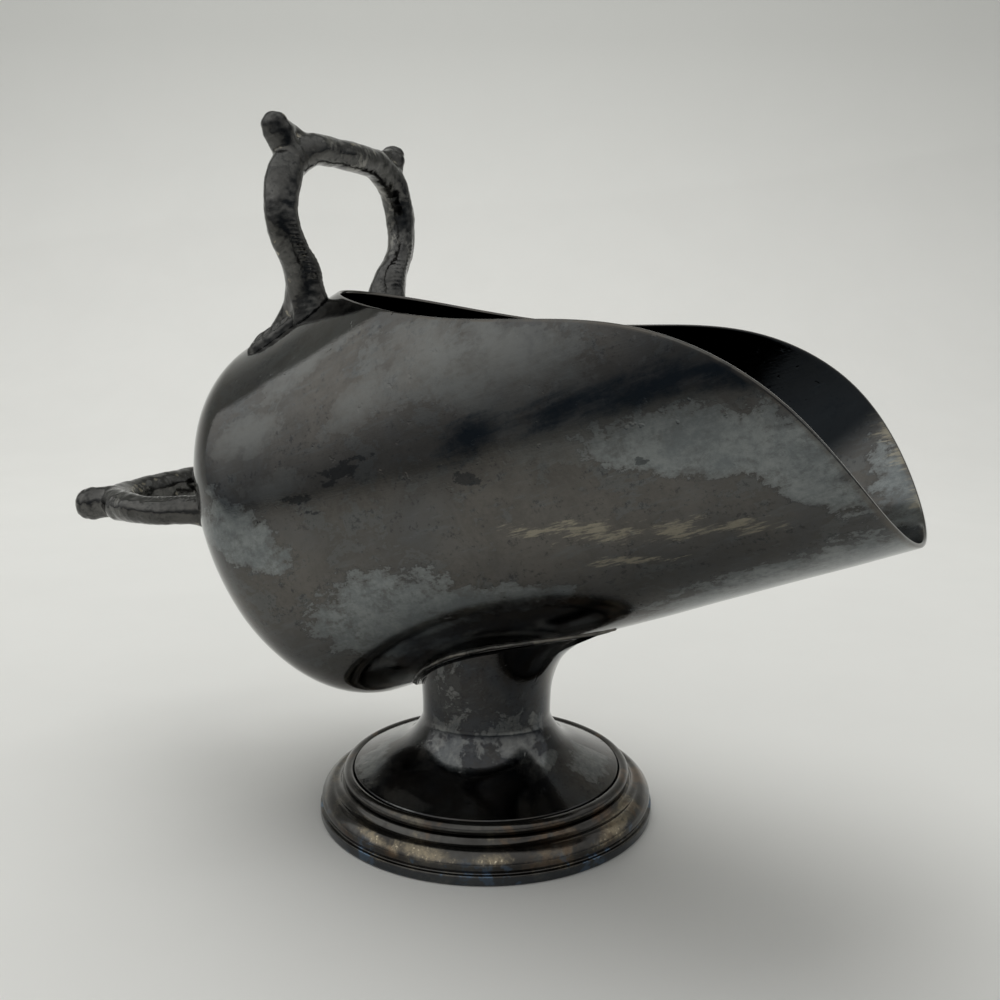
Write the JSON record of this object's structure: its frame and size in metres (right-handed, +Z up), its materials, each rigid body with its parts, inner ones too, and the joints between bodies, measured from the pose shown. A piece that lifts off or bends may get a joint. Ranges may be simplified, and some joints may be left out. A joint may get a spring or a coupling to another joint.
{
  "type": "footed serving scuttle",
  "caption": "Silver-plated boat-shaped server: tilted open-mouthed bowl on a round pedestal foot, with a cast bail handle over the back and another behind.",
  "frame": {"origin": "centre of the foot, on the table", "axes": "+X towards the pouring lip, +Z up, +Y to the left of someone facing the way it pours"},
  "size_m": [0.1962, 0.075, 0.1507],
  "materials": {
    "plated_sheet": "silver plate under dark grey-brown tarnish, semi-gloss",
    "plated_wire": "worn silver plate, tarnished, coppery on the high spots",
    "plated_casting": "plated casting, near-black tarnish in the hollows",
    "solder": "dull soft solder"
  },
  "bodies": {
    "root": {"body_shell": "plated_sheet", "saddle_flange": "plated_sheet", "saddle_solder": "solder", "pedestal_foot": "plated_sheet", "foot_bead_wire": "plated_wire", "foot_rim_ring": "plated_wire", "top_handle": "plated_casting", "top_handle_leaf_left": "plated_casting", "top_handle_leaf_right": "plated_casting", "rear_handle": "plated_casting", "rear_handle_leaf_left": "plated_casting", "rear_handle_leaf_right": "plated_casting"}
  },
  "joints": []
}
